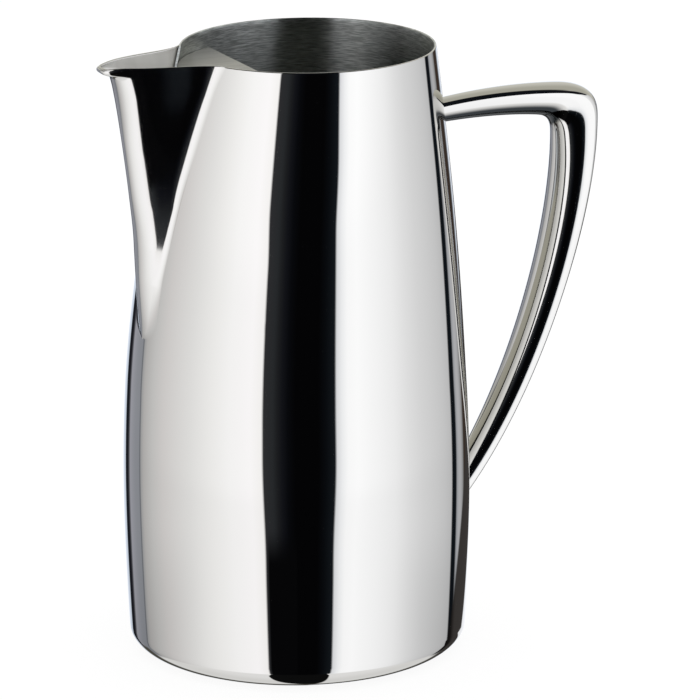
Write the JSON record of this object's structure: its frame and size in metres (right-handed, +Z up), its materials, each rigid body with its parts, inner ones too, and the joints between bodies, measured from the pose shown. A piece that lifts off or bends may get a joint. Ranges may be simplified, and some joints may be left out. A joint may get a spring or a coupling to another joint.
{
  "type": "water pitcher",
  "caption": "Tall mirror-polished steel water pitcher with a tapered body, a pointed welded spout, a flat ice guard and a hollow loop handle.",
  "frame": {"origin": "centre of the flat underside, on the axis of the body's round lower part", "axes": "+Z up out of the mouth; +X towards the handle; the spout points along -X; the XZ plane is the plane of symmetry"},
  "size_m": [0.185, 0.12, 0.212],
  "materials": {
    "polished_steel": "mirror-polished stainless steel, brushed inside the body",
    "satin_steel": "satin brushed stainless steel"
  },
  "bodies": {
    "root": {"body_shell": "polished_steel", "base_plate": "polished_steel", "spout": "polished_steel", "ice_guard": "satin_steel", "handle_outer_shell": "polished_steel", "handle_inner_shell": "polished_steel"}
  },
  "joints": []
}
